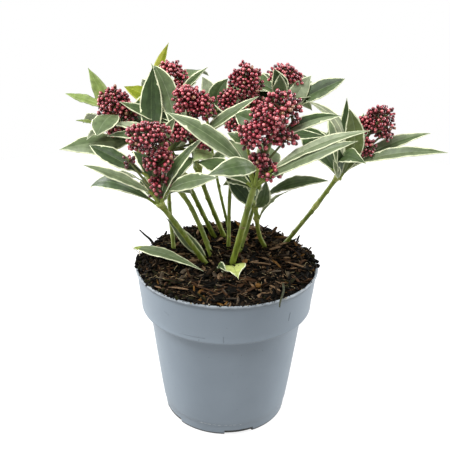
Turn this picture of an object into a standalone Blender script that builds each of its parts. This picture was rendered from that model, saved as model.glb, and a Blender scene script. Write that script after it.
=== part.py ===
"""Potted skimmia, a small evergreen shrub in its grower's pot.

Eleven green stems rise from a plastic pot of bark compost. Each ends in a whorl of leaves,
and nine of them carry a dense head of flower buds above the whorl. Every stem, whorl and
head is a solid of its own. Units are metres and +Z is up. The origin is the middle of the
pot's flat underside, and -Y is the front.
"""

import math
import random

import bpy
import bmesh
from mathutils import Vector

MM = 0.001
GAP = 0.3 * MM  # clearance between neighbouring solids

# Pot
POT_HEIGHT = 116 * MM
POT_WALL = 1.0 * MM
POT_FLOOR = 1.5 * MM
RIM_RADIUS = 65 * MM
LIP_HEIGHT = 3 * MM
LIP_OVERHANG = 0.8 * MM
BAND_HEIGHT = 31.5 * MM
BAND_FOOT_RADIUS = 61 * MM
BAND_ROUNDING = 2.4 * MM
BODY_TOP_RADIUS = 55.6 * MM
FOOT_RADIUS = 46.2 * MM
FOOT_HEIGHT = 9 * MM
BASE_RADIUS = 43.4 * MM
POT_SEGMENTS = 48
DRAIN_SLOTS = 5
DRAIN_SLOT_SIZE = Vector((8, 20, 4)) * MM
DRAIN_SLOT_LEVEL = 1.4 * MM  # of the middle, so that a slot is open at the underside
DRAIN_SLOT_TURN = math.radians(-4.5)

# Compost, heaped a little higher at the back than at the front
SOIL_LEVEL = 118.5 * MM
SOIL_SHOULDER_RADIUS = 56 * MM
SOIL_EDGE_RADIUS = 60.5 * MM
SOIL_EDGE_DROP = 1.4 * MM
SOIL_RISE_TO_BACK = 0.08
SOIL_SEGMENTS = 32

# Stems
STEM_SIDES_RESOLUTION = 2
STEM_POINTS = 7
STEM_FLARE = 1.25
STEM_STUB = 1.5 * MM

# Whorls and flower heads
NODE_RADIUS = 7 * MM  # of the flat seats above and below a whorl
WHORL_CORE = 13 * MM
LEAF_OUTLINE = ((0.5, 1.0), (0.78, 0.62))  # shares of a leaf's length and of its half width
LEAF_HALF_THICKNESS = 3.2 * MM
HEAD_CLEARANCE = math.radians(4)
SEAT_MARGIN = math.radians(6)  # between a seat and the nearest leaf
HEAD_MIN_CONE = math.radians(24)
STEM_CONE = math.radians(32)
SEAT_CORNERS = 10
LEAST_ANGLE = math.radians(5)  # between neighbouring points of a solid
WHORL_FILL = 34
HEAD_FILL = 64
UNEVENNESS = 0.09
BACK_LEAF_LENGTH = 60 * MM
BACK_LEAF_RISE = 24
SEED = 11

# A stem's foot (x, y), the point that its curve bends towards and the middle of its whorl,
# its width there, the leaves' tips from that middle, the headings of the leaves that fill
# its far side, and its flower head's middle, half width and half height. All mm, degrees.
SHOOTS = {
    "front_left": dict(
        foot=(-13.4, -6.3), bend=(-29, -20, 146), top=(-44, -35, 175), width=3.6,
        leaves=[(-44, -15, 30, 13), (-44, 10, 35, 17), (-49, 25, 1, 13), (29, 5, 43, 14),
                (38, -16, 20, 15)],
        back=(70, 115), head=((-49, -35, 205), 16.5, 23)),
    "back_left": dict(
        foot=(-38.6, 12.3), bend=(-43, 22, 168), top=(-42, 42, 222), width=3.0,
        leaves=[(-2, 24, 38, 12), (-11, -27, 29, 18), (-10, -12, 26, 14), (-37, 13, 11, 15)],
        back=(60, 105), head=((-40, 40, 242), 10.5, 10)),
    "left": dict(
        foot=(-10.2, 3.8), bend=(-18, 10, 160), top=(-76, 25, 203), width=3.4,
        leaves=[(-22, 10, 44, 13), (-39, 10, 26, 12), (-25, -30, 17, 12), (-18, -30, -8, 15),
                (-39, -20, -6, 16)],
        back=(60, 110), head=((-80, 25, 221), 13, 16)),
    "inner": dict(
        foot=(-8.7, 33.7), bend=(-22, 20, 158), top=(-39, 0, 199), width=3.4,
        leaves=[(-43, 5, 8, 12), (-45, 15, 14, 11), (6, -12, 26, 11)],
        back=(100,), head=((-28, -5, 213), 11.5, 10)),
    "centre": dict(
        foot=(-1.3, 34), bend=(-12, 26, 160), top=(-27, 8, 211), width=3.4,
        leaves=[(-49, 20, 16, 14), (12, 12, 42, 12), (30, -14, -22, 16)],
        back=(110,), head=((-24, 5, 229), 15, 13.5)),
    "back": dict(
        foot=(2.5, 41), bend=(-4, 42, 165), top=(-17, 55, 212), width=2.2,
        leaves=[(16, -35, 32, 18), (-5, 27, 20, 13)],
        back=(10, 50, 90, 130), head=None),
    "upper": dict(
        foot=(1, 13.4), bend=(0, 16, 168), top=(8, 25, 214), width=2.6,
        leaves=[(18, -22, 23, 12), (-24, -16, -3, 12), (-4, -26, 8, 15)],
        back=(30, 80, 130), head=((8.5, 25, 236), 16.5, 18)),
    "front": dict(
        foot=(3.4, -5.8), bend=(11, -15, 152), top=(17, -28, 185), width=4.6,
        leaves=[(-55, -10, 49, 17), (-29, -34, 16, 18), (68, -14, 41, 15), (62, -17, 33, 14),
                (55, 16, 42, 14)],
        back=(75, 120), head=((26, -30, 228), 21, 21)),
    "back_right": dict(
        foot=(8, 7), bend=(20, 22, 160), top=(38, 45, 230), width=2.8,
        leaves=[(-8, -20, 20, 10), (20, 0, 12, 11), (43, -5, 11, 13), (31, -15, -27, 13),
                (18, -10, 0, 10)],
        back=(60, 95, 130), head=((39, 45, 242), 11, 9.5)),
    "low": dict(
        foot=(29, 19.5), bend=(22, 14, 138), top=(19, 0, 160), width=3.0,
        leaves=[(48, -12, 23, 17), (20, -25, 20, 10), (-17, -25, 26, 15), (6, -15, 24, 12)],
        back=(100,), head=None),
    "right": dict(
        foot=(42.4, 26.4), bend=(63, 23, 149), top=(77, 10, 180), width=3.2,
        leaves=[(3, 10, 52, 13), (-2, -22, 47, 16), (63, 10, 27, 15), (67, -20, 23, 15),
                (-7, -25, 26, 13), (-13, 15, 46, 14)],
        back=(50, 90, 130), head=((98, 7, 218), 12.5, 14)),
}

POT_BLUE = ((0.33, 0.42, 0.49), 0.45)
SOIL_BROWN = ((0.045, 0.028, 0.018), 0.95)
STEM_GREEN = ((0.16, 0.24, 0.05), 0.55)
LEAF_GREEN = ((0.12, 0.20, 0.10), 0.5)
BUD_RED = ((0.25, 0.03, 0.06), 0.5)


def clear_scene():
    for existing in list(bpy.data.objects):
        bpy.data.objects.remove(existing, do_unlink=True)


def new_collection(name):
    collection = bpy.data.collections.new(name)
    bpy.context.scene.collection.children.link(collection)
    return collection


def new_material(name, colour_and_roughness):
    colour, roughness = colour_and_roughness
    material = bpy.data.materials.new(name)
    material.use_nodes = True
    shader = material.node_tree.nodes["Principled BSDF"]
    shader.inputs["Base Color"].default_value = (*colour, 1)
    shader.inputs["Roughness"].default_value = roughness
    shader.inputs["Metallic"].default_value = 0
    return material


def new_object(name, data, collection, material=None):
    made = bpy.data.objects.new(name, data)
    collection.objects.link(made)
    if material:
        made.data.materials.append(material)
    return made


def turned(name, profile, segments, collection, material):
    """A solid turned from a profile of (radius, height) points, outer side downwards."""
    mesh = bpy.data.meshes.new(name)
    count = len(profile)
    edges = [(n, (n + 1) % count) for n in range(count)]
    if profile[0][0] == 0 and profile[-1][0] == 0:
        edges.pop()
    mesh.from_pydata([(radius, 0, height) for radius, height in profile], edges, [])
    turned_object = new_object(name, mesh, collection, material)
    screw = turned_object.modifiers.new("turn", "SCREW")
    screw.steps = segments
    screw.render_steps = segments
    screw.use_merge_vertices = True
    screw.merge_threshold = 0.01 * MM
    return turned_object


def make_pot(collection, cutters, material):
    band_foot = POT_HEIGHT - BAND_HEIGHT
    under_lip = POT_HEIGHT - LIP_HEIGHT
    wall_top = RIM_RADIUS - LIP_OVERHANG
    outer = [
        (RIM_RADIUS - LIP_OVERHANG, POT_HEIGHT),
        (RIM_RADIUS, POT_HEIGHT - LIP_OVERHANG),
        (RIM_RADIUS, under_lip + LIP_OVERHANG),
        (wall_top, under_lip),
        (BAND_FOOT_RADIUS, band_foot + BAND_ROUNDING),
        (BAND_FOOT_RADIUS - BAND_ROUNDING, band_foot),
        (BODY_TOP_RADIUS, band_foot),
        (FOOT_RADIUS, FOOT_HEIGHT),
        (BASE_RADIUS + POT_WALL, POT_WALL),
        (BASE_RADIUS, 0),
        (0, 0),
    ]
    inner = [
        (0, POT_FLOOR),
        (BASE_RADIUS - POT_WALL, POT_FLOOR),
        (FOOT_RADIUS - POT_WALL, FOOT_HEIGHT),
        (BODY_TOP_RADIUS - POT_WALL, band_foot + POT_WALL),
        (BAND_FOOT_RADIUS - POT_WALL - BAND_ROUNDING, band_foot + POT_WALL),
        (BAND_FOOT_RADIUS - POT_WALL, band_foot + BAND_ROUNDING + POT_WALL),
        (wall_top - POT_WALL, POT_HEIGHT),
    ]
    pot = turned("pot", outer + inner, POT_SEGMENTS, collection, material)
    for slot_number in range(DRAIN_SLOTS):
        bpy.ops.mesh.primitive_cube_add(size=1)
        slot = bpy.context.object
        slot.name = f"drain_slot_{slot_number}"
        for owner in list(slot.users_collection):
            owner.objects.unlink(slot)
        cutters.objects.link(slot)
        turn = DRAIN_SLOT_TURN + slot_number * math.tau / DRAIN_SLOTS
        slot.dimensions = DRAIN_SLOT_SIZE
        slot.rotation_euler = (0, 0, turn)
        reach = BASE_RADIUS + POT_WALL
        slot.location = (reach * math.cos(turn), reach * math.sin(turn), DRAIN_SLOT_LEVEL)
        slot.hide_render = True
        slot.display_type = "WIRE"
        cut = pot.modifiers.new(slot.name, "BOOLEAN")
        cut.operation = "DIFFERENCE"
        cut.solver = "EXACT"
        cut.object = slot
    return pot


def soil_height(y):
    return SOIL_LEVEL + SOIL_RISE_TO_BACK * y


def make_soil(collection, material):
    """The compost fills the pot, with its top tilted up towards the back."""
    band_foot = POT_HEIGHT - BAND_HEIGHT
    inside = POT_WALL + GAP
    wall_top = RIM_RADIUS - LIP_OVERHANG - inside
    edge_height = POT_HEIGHT - 1.5 * LIP_HEIGHT
    profile = [
        (0, SOIL_LEVEL),
        (SOIL_SHOULDER_RADIUS * 0.5, SOIL_LEVEL),
        (SOIL_SHOULDER_RADIUS, SOIL_LEVEL),
        (SOIL_EDGE_RADIUS, SOIL_LEVEL - SOIL_EDGE_DROP),
        (wall_top - LIP_OVERHANG, edge_height),
        (BAND_FOOT_RADIUS - inside, band_foot + BAND_ROUNDING + 2 * POT_WALL),
        (BAND_FOOT_RADIUS - inside - BAND_ROUNDING, band_foot + POT_WALL + 2 * GAP),
        (BODY_TOP_RADIUS - inside, band_foot + POT_WALL + 2 * GAP),
        (FOOT_RADIUS - inside, FOOT_HEIGHT),
        (BASE_RADIUS - inside, POT_FLOOR + GAP),
        (0, POT_FLOOR + GAP),
    ]
    draft = turned("soil_draft", profile, SOIL_SEGMENTS, collection, material)
    graph = bpy.context.evaluated_depsgraph_get()
    mesh = bpy.data.meshes.new_from_object(draft.evaluated_get(graph))
    bpy.data.objects.remove(draft, do_unlink=True)
    top = SOIL_LEVEL - 1.01 * SOIL_EDGE_DROP
    for vertex in mesh.vertices:
        if vertex.co.z > top:
            vertex.co.z += soil_height(vertex.co.y) - SOIL_LEVEL
    return new_object("soil", mesh, collection)


def shoot_point(values):
    return Vector(values) * MM


def stem_foot(shoot):
    x, y = shoot["foot"]
    lift = GAP + SOIL_RISE_TO_BACK * shoot["width"] * MM
    return Vector((x * MM, y * MM, soil_height(y * MM) + lift))


def stem_path(shoot):
    """Points along the stem: a short upright stub, then one curve to below the whorl."""
    foot = stem_foot(shoot)
    start = foot + Vector((0, 0, STEM_STUB))
    bend = shoot_point(shoot["bend"])
    top = shoot_point(shoot["top"])
    end = top - (top - bend).normalized() * (NODE_RADIUS + GAP)
    points = [foot]
    for n in range(STEM_POINTS):
        t = n / (STEM_POINTS - 1)
        points.append(start * (1 - t) ** 2 + bend * 2 * t * (1 - t) + end * t ** 2)
    return points


def make_stem(name, shoot, collection, material):
    points = stem_path(shoot)
    curve = bpy.data.curves.new(f"stem_{name}", "CURVE")
    curve.dimensions = "3D"
    curve.bevel_depth = shoot["width"] * MM / 2
    curve.bevel_resolution = STEM_SIDES_RESOLUTION
    curve.use_fill_caps = True
    spline = curve.splines.new("POLY")
    spline.points.add(len(points) - 1)
    for n, (spot, point) in enumerate(zip(spline.points, points)):
        spot.co = (*point, 1)
        spot.radius = STEM_FLARE + (1 - STEM_FLARE) * min(1, 2 * n / len(points))
    return new_object(f"stem_{name}", curve, collection, material)


def spiral_directions(count):
    """Evenly spread directions over the whole ball."""
    golden_angle = math.pi * (3 - math.sqrt(5))
    directions = []
    for n in range(count):
        height = 1 - (2 * n + 1) / count
        ring = math.sqrt(1 - height * height)
        turn = n * golden_angle
        directions.append(Vector((ring * math.cos(turn), ring * math.sin(turn), height)))
    return directions


def ring_directions(axis, angle, count):
    """Directions at one angle round an axis."""
    side = axis.orthogonal().normalized()
    other = axis.cross(side)
    directions = []
    for n in range(count):
        turn = math.tau * n / count
        across = side * math.cos(turn) + other * math.sin(turn)
        directions.append(axis * math.cos(angle) + across * math.sin(angle))
    return directions


class Solid:
    """A closed solid seen whole from its middle: a distance for each of its directions."""

    def __init__(self, name, middle, seed):
        self.name = name
        self.middle = middle
        self.directions = []
        self.distances = []
        self.walls = []
        self.cone = None
        self.draw = random.Random(seed)

    def add(self, direction, distance):
        for known in self.directions:
            if known.angle(direction) < LEAST_ANGLE:
                return
        self.directions.append(direction)
        self.distances.append(distance)

    def reach_towards(self, axis):
        pairs = zip(self.directions, self.distances)
        return max(direction.dot(axis) * distance for direction, distance in pairs)

    def allows(self, point):
        for wall_point, wall_normal in self.walls:
            if (point - wall_point).dot(wall_normal) > 0:
                return False
        if self.cone:
            apex, axis, angle = self.cone
            return (point - apex).angle(axis, 0) <= angle
        return True

    def allowed_distance(self, direction, distance):
        low, high = 0, distance
        if self.allows(self.middle + direction * high):
            return high
        for _ in range(24):
            middle = (low + high) / 2
            if self.allows(self.middle + direction * middle):
                low = middle
            else:
                high = middle
        return low

    def make(self, collection, material):
        mesh = bpy.data.meshes.new(self.name)
        shape = bmesh.new()
        for direction in self.directions:
            shape.verts.new(direction)
        bmesh.ops.convex_hull(shape, input=list(shape.verts))
        for vertex, direction, distance in zip(shape.verts, self.directions, self.distances):
            vertex.co = direction * self.allowed_distance(direction, distance)
        bmesh.ops.recalc_face_normals(shape, faces=list(shape.faces))
        shape.to_mesh(mesh)
        shape.free()
        made = new_object(self.name, mesh, collection, material)
        made.location = self.middle
        return made


def head_axis_and_cone(shoot):
    """The line from the whorl to the flower head, and half the angle that the head fills."""
    middle, half_width, _ = shoot["head"]
    line = shoot_point(middle) - shoot_point(shoot["top"])
    cone = math.atan(half_width * MM / line.length) * 1.15
    return line.normalized(), max(cone, HEAD_MIN_CONE)


def add_seat(solid, axis, cone):
    """A flat seat, square to its axis, where a stem or a flower head meets a whorl."""
    solid.add(axis, NODE_RADIUS)
    for direction in ring_directions(axis, cone, SEAT_CORNERS):
        solid.add(direction, NODE_RADIUS / math.cos(cone))


def back_leaf(heading):
    turn, rise = math.radians(heading), math.radians(BACK_LEAF_RISE)
    flat = math.cos(rise) * BACK_LEAF_LENGTH
    return Vector((flat * math.cos(turn), flat * math.sin(turn),
                   math.sin(rise) * BACK_LEAF_LENGTH))


def add_leaf(solid, tip, half_width, blocked):
    """A leaf as a flat lobe, broadest half way out and pointed at its tip."""
    side = tip.cross(Vector((0, 0, 1))).normalized()
    above = side.cross(tip.normalized())
    points = [tip]
    for out, broad in LEAF_OUTLINE:
        for sign in (1, -1):
            points.append(tip * out + side * sign * half_width * broad)
    for sign in (1, -1):
        points.append(tip * LEAF_OUTLINE[0][0] + above * sign * LEAF_HALF_THICKNESS)
    for point in points:
        direction = point.normalized()
        if not any(direction.angle(axis) < cone + SEAT_MARGIN for axis, cone in blocked):
            solid.add(direction, point.length)


def whorl_solid(name, shoot, seed):
    """The leaves round the top of a stem, as one solid with a lobe for each leaf."""
    top = shoot_point(shoot["top"])
    solid = Solid(f"leaves_{name}", top, seed)
    down = (shoot_point(shoot["bend"]) - top).normalized()
    add_seat(solid, down, STEM_CONE)
    blocked = [(down, STEM_CONE)]
    if shoot["head"]:
        axis, cone = head_axis_and_cone(shoot)
        add_seat(solid, axis, cone)
        blocked.append((axis, cone))
    for x, y, z, width in shoot["leaves"]:
        add_leaf(solid, shoot_point((x, y, z)), width * MM / 2, blocked)
    for heading in shoot["back"]:
        add_leaf(solid, back_leaf(heading), WHORL_CORE / 2, blocked)
    for direction in spiral_directions(WHORL_FILL):
        if not any(direction.angle(axis) < cone + SEAT_MARGIN for axis, cone in blocked):
            solid.add(direction, WHORL_CORE * (1 + solid.draw.uniform(-1, 1) * UNEVENNESS))
    return solid


def head_solid(name, shoot, seed):
    """A flower head: an uneven ball of buds, drawn out downwards to the whorl."""
    middle, half_width, half_height = shoot["head"]
    middle = shoot_point(middle)
    top = shoot_point(shoot["top"])
    solid = Solid(f"flowers_{name}", middle, seed)
    axis, cone = head_axis_and_cone(shoot)
    seat = top + axis * (NODE_RADIUS + GAP)
    solid.add(-axis, (middle - seat).length)
    for direction in spiral_directions(HEAD_FILL):
        across = Vector((direction.x, direction.y, 0)).length / (half_width * MM)
        along = direction.z / (half_height * MM)
        distance = 1 / math.hypot(across, along)
        solid.add(direction, distance * (1 + solid.draw.uniform(-1, 1) * UNEVENNESS))
    solid.cone = (top, axis, cone - HEAD_CLEARANCE)
    solid.walls.append((seat, -axis))
    return solid


def part_solids(first, second):
    """A flat wall between two solids, placed by how far each reaches towards the other."""
    line = second.middle - first.middle
    axis = line.normalized()
    one, other = first.reach_towards(axis), second.reach_towards(-axis)
    if one + other < line.length - GAP:
        return
    spot = first.middle + line * (one / (one + other))
    first.walls.append((spot - axis * GAP / 2, axis))
    second.walls.append((spot + axis * GAP / 2, -axis))


def keep_off_stem(solid, shoot):
    """A flat wall where another shoot's stem comes nearest to the solid's middle."""
    path = stem_path(shoot)
    steps = [a.lerp(b, n / 8) for a, b in zip(path, path[1:]) for n in range(9)]
    nearest = min(steps, key=lambda point: (point - solid.middle).length)
    axis = (nearest - solid.middle).normalized()
    clear = shoot["width"] * MM * STEM_FLARE / 2 + 2 * GAP
    solid.walls.append((nearest - axis * clear, axis))


def make_crown(collection, leaf_material, flower_material):
    whorls = {}
    heads = {}
    for number, (name, shoot) in enumerate(SHOOTS.items()):
        whorls[name] = whorl_solid(name, shoot, SEED + number)
        if shoot["head"]:
            heads[name] = head_solid(name, shoot, SEED + 50 + number)
    owned = [(name, solid) for group in (whorls, heads) for name, solid in group.items()]
    for n, (name, solid) in enumerate(owned):
        for other_name, other in owned[n + 1:]:
            if name != other_name:
                part_solids(solid, other)
        for other_name, shoot in SHOOTS.items():
            if name != other_name:
                keep_off_stem(solid, shoot)
    for solid in whorls.values():
        solid.make(collection, leaf_material)
    for solid in heads.values():
        solid.make(collection, flower_material)


def main():
    clear_scene()
    plant = new_collection("potted_skimmia")
    cutters = new_collection("cutters")
    make_pot(plant, cutters, new_material("pot_plastic", POT_BLUE))
    make_soil(plant, new_material("compost", SOIL_BROWN))
    stem_material = new_material("stem", STEM_GREEN)
    for name, shoot in SHOOTS.items():
        make_stem(name, shoot, plant, stem_material)
    make_crown(plant, new_material("leaf", LEAF_GREEN), new_material("bud", BUD_RED))


main()
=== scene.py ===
"""Looks of the potted skimmia: leaves, flower heads, stems, compost and pot."""

import math
import random
from collections import namedtuple

import bpy
import bmesh
import numpy as np
from mathutils import Matrix, Vector


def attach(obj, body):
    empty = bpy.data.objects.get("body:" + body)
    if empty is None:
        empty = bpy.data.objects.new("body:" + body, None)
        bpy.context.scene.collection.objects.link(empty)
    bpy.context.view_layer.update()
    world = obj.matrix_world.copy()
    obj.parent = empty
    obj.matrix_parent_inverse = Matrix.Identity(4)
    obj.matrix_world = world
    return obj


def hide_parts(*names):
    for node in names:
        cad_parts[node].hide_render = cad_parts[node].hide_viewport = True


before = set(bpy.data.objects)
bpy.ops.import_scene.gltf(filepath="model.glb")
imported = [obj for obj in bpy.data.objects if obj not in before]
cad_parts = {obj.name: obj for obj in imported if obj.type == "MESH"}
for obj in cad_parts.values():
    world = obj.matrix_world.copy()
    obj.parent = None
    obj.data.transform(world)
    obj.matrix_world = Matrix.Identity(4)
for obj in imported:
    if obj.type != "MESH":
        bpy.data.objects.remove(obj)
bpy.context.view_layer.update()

MM = 0.001
SEED = 7

# ---------------- the shoots
# Directions that a leaf's upper side can face
UP = (0, 0, 1)
FRONT = (0, -0.92, 0.38)
HALF = (0, -0.5, 0.85)

# One leaf. tip and start are measured from the middle of its whorl, in mm. look names the look of
# its halves, left/right where they differ. arch lifts its middle towards its upper side and sway
# moves it to that side's right. fold and twist are in degrees. wave is the size of the waves of its
# edge and broad is the place of its widest part along it.
Leaf = namedtuple("Leaf", "tip width look face arch sway fold start twist wave broad",
                  defaults=("grey", UP, 6, 0, 18, (0, 0, 0), 0, 0.7, 0.52))

# One shoot: its foot (x, y), points that its stem passes, the middle of its whorl, the stem's
# width, the leaves that show, and headings and rise of the leaves on the far side. Then its flower
# head: the share of the full size that its buds have, how loosely its clusters stand, and its
# lobes, the main one first: x, y, z, half width and half height. All mm and degrees.
Shoot = namedtuple("Shoot", "foot via top width leaves back rise bud loose head",
                   defaults=(1, 1, ()))

SHOOTS = {}
SHOOTS["front_left"] = Shoot(
    foot=(-13.4, -6.3), via=[(-29, -20, 146)], top=(-44, -35, 175), width=3.6,
    leaves=[
        Leaf((-44, -15, 29), 7.5, "sage/pale", (0, -0.62, 0.78), arch=3.6, fold=12,
             start=(-2, -2, 9)),
        Leaf((-44, 10, 34), 13, "dark", HALF, arch=0.4, fold=12, start=(-6, 2, 17), broad=0.6),
        Leaf((-49, 25, 0), 11, "dark", (-0.15, -0.6, 0.78), arch=15.5, fold=8, broad=0.56),
        Leaf((29, 5, 42), 9, "green/moss", (-0.6, -0.6, 0.5), arch=7, fold=14),
        Leaf((38, -16, 22.5), 11, "grey", (-0.2, -0.75, 0.65), arch=5, fold=12,
             start=(4, 0, 9)),
    ],
    back=[75, 115], rise=12, bud=0.98, loose=1.25,
    head=[(-50, -35, 217, 15, 11.5), (-43, -35, 203, 11, 9), (-42, -35, 189, 8, 8),
          (-46, -35, 180, 3.5, 4), (-62, -35, 202, 4, 3.5)])
SHOOTS["back_left"] = Shoot(
    foot=(-38.6, 12.3), via=[(-43, 28, 160)], top=(-42, 42, 222), width=3.0,
    leaves=[
        Leaf((-2, 20, 39), 8, "olive/lime", (0.4, -0.9, 0.1), arch=0, sway=-2, fold=10,
             start=(-15, 0, 0)),
        Leaf((-14, 10, 26), 7, "grey", FRONT, arch=2),
        Leaf((-34.5, 13, 8.5), 15, "lime", HALF, arch=1.5, fold=10),
        Leaf((27, -14, 28), 8, "moss", (-0.5, -0.6, 0.5), arch=1, fold=40),
    ],
    back=[60, 105], rise=6, bud=0.92,
    head=[(-42, 42, 246, 8.5, 5.5), (-34, 42, 240, 6, 6.5), (-36, 38, 232, 6.5, 5.5)])
SHOOTS["left"] = Shoot(
    foot=(-10.2, 3.8), via=[(-20.4, 8, 143), (-35, 12, 167)], top=(-76, 25, 203), width=3.4,
    leaves=[
        Leaf((-22, 10, 44), 12, "leafy", (-0.2, -0.95, 0.2), arch=1, sway=1.5, fold=8),
        Leaf((-39, 10, 26), 8, "leafy", HALF, arch=1.5, fold=10, start=(-5, 0, 19)),
        Leaf((-24, -30, 17), 6, "leafy", HALF, arch=1.5, start=(-7, -4, 8)),
        Leaf((-9.5, -38, 9), 18, "grey", (-0.2, -0.8, 0.5), arch=5, fold=6, start=(0, -4, 17),
             broad=0.6),
        # its far half lies in the shade of the front left head and takes a lighter look: painted
        # light
        Leaf((-39, -20, -6), 20, "pale/grey", HALF, arch=2.5, fold=-4, start=(9, -3, -3),
             broad=0.46),
        Leaf((-20, -20, 1), 5, "silver", HALF, arch=2, start=(-8, -4, 12)),
    ],
    back=[60, 110], rise=8, bud=0.92, loose=1.15,
    head=[(-80, 25, 227, 12, 10), (-86, 25, 216, 6, 6.5), (-70, 25, 219, 10, 7.5),
          (-76, 20, 208, 10, 4.5)])
SHOOTS["inner"] = Shoot(
    foot=(-8.7, 33.7), via=[(-27.5, 12, 170)], top=(-39, 0, 199), width=3.4,
    leaves=[
        Leaf((-12, 16, 53), 15.5, "dark", FRONT, arch=-4, sway=-2, fold=8, start=(-10.5, 0, 2)),
        Leaf((-12, 24, 52), 14, "grey", (0.2, -0.92, 0.2), arch=-4, sway=6.5, fold=8,
             start=(0, 0, 4), broad=0.68),
        Leaf((-43, 5, 8), 9, "moss", HALF, arch=4, start=(0, 0, 8)),
        Leaf((-42, 12, 14), 8, "silver", (0, -0.5, 0.85), arch=10, fold=4),
        Leaf((5, -12, 26), 8, "grey", FRONT, arch=3, sway=-2, start=(-5, -3, 0)),
    ],
    back=[100], rise=10, bud=0.92,
    head=[(-31, -3, 213, 11.5, 8), (-17, -3, 207, 6.5, 5), (-11, -3, 203, 3.5, 3)])
SHOOTS["centre"] = Shoot(
    foot=(-1.3, 34), via=[(-18, 22, 168)], top=(-27, 8, 211), width=3.4,
    leaves=[
        Leaf((-46.5, 3, 18), 13, "green", HALF, arch=-1, start=(0, 12, 1)),
        Leaf((46, -6, 25), 9, "grey", (-0.5, -0.6, 0.6), arch=2, fold=24, start=(0, -4, -8)),
        # lies in shade under the heads; its look is painted light
        Leaf((20.6, -4, -18.8), 13, "painted_light", (-0.3, -0.5, 0.8), arch=13.5, fold=4,
             start=(3.5, 2, -26.5), broad=0.56),
        Leaf((27, -10, -10.5), 8, "grey", (0.1, -0.75, 0.65), arch=2, start=(14, -6, -19)),
    ],
    back=[110], rise=6, bud=0.98,
    head=[(-28, 5, 232, 11, 10), (-18, 5, 228, 9.5, 10.5)])
SHOOTS["back"] = Shoot(
    foot=(2.5, 41), via=[(-7.4, 40, 163)], top=(-17, 55, 212), width=2.2,
    leaves=[
        Leaf((16, -7, 26.5), 13.5, "green", FRONT, arch=2, sway=-3.4, start=(7, -7, 2)),
        Leaf((-3, 7, 25), 12, "silver", FRONT, arch=0, sway=2, start=(5, 0, 2)),
    ],
    back=[10, 50, 95, 140], rise=-6)
SHOOTS["upper"] = Shoot(
    foot=(1, 13.4), via=[(1.9, 22, 169)], top=(8, 25, 214), width=2.6,
    leaves=[
        Leaf((58, -13, -7), 12.5, "dark", HALF, arch=-2.2, fold=10),
    ],
    back=[12, 52, 90], rise=10, bud=0.92,
    head=[(11, 25, 241, 12.5, 12.5), (-1, 25, 228, 7.5, 9), (15, 25, 227, 9, 6),
          (3, 24, 211, 6.5, 6.5)])
SHOOTS["front"] = Shoot(
    foot=(3.4, -5.8), via=[(16.4, -26, 182)], top=(17, -28, 185), width=4.2,
    leaves=[
        Leaf((-55, -10, 49), 12.5, "misty", (0.25, -0.75, 0.6), arch=7, fold=10,
             start=(-3, -8, 16.5)),
        Leaf((-29.5, -34, 17.5), 13, "green/moss", (0.1, -0.75, 0.65), arch=8, fold=8,
             start=(2, -12, 15)),
        Leaf((69, -8, 39), 10, "silver/pale", (-0.2, -0.4, 0.9), arch=6, fold=12,
             start=(6, -4, 11)),
        Leaf((61, -14, 34), 10, "sage", (0, -0.6, 0.8), arch=5.5, fold=8, start=(5, -4, 8)),
        Leaf((55, 16, 42), 10.5, "dark/pale", (0, -0.5, 0.85), arch=7, fold=12,
             start=(8, 0, 29)),
        Leaf((-13, 16, 42), 14, "green", FRONT, arch=3, start=(10, 8, 37), broad=0.6),
        Leaf((-18, 6, 32.4), 8, "green", (0, -0.7, 0.7), arch=1.5, start=(-4, 4, 27)),
    ],
    back=[75, 120], rise=10, bud=1.08, loose=1.15,
    head=[(32, -30, 234.5, 13.5, 11.5), (24, -30, 228, 13.5, 12.5), (16, -30, 218, 12, 11),
          (35, -30, 216, 9, 9), (19, -30, 203, 7, 6), (26, -31, 195, 8.5, 8)])
SHOOTS["back_right"] = Shoot(
    foot=(8, 7), via=[(21, 22, 160)], top=(38, 45, 230), width=2.8,
    leaves=[
        Leaf((-8, -20, 20), 13, "dark", FRONT, arch=3),
        Leaf((-4, -23, 17), 11, "sage", FRONT, arch=3, start=(-3, 0, -1)),
        Leaf((20, 0, 12), 14, "silver", (0.2, -0.95, 0.25), arch=2, sway=-2, start=(2, -6, -15)),
        Leaf((43, -5, 11), 14, "dark/green", (0, -0.7, 0.7), arch=3, start=(3, 0, -9),
             broad=0.58),
    ],
    back=[60, 95, 130], rise=-2, bud=0.9,
    head=[(38, 45, 243, 11, 8), (46, 45, 239, 6, 6)])
SHOOTS["low"] = Shoot(
    foot=(29, 19.5), via=[(23, 15, 133)], top=(19, 0, 160), width=3.0,
    leaves=[
        Leaf((48, -12, 23), 11, "moss/green", HALF, arch=6.8, fold=12, start=(5, 0, 7)),
        Leaf((22, -25, 21), 7, "dark/sage", UP, arch=3, start=(2, 0, -7)),
        Leaf((-20.8, -6, 22.4), 11, "dark", FRONT, arch=1, sway=1),
        Leaf((6, -15, 24), 10, "moss", FRONT, arch=4, sway=2.5),
    ],
    back=[100], rise=6)
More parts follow.
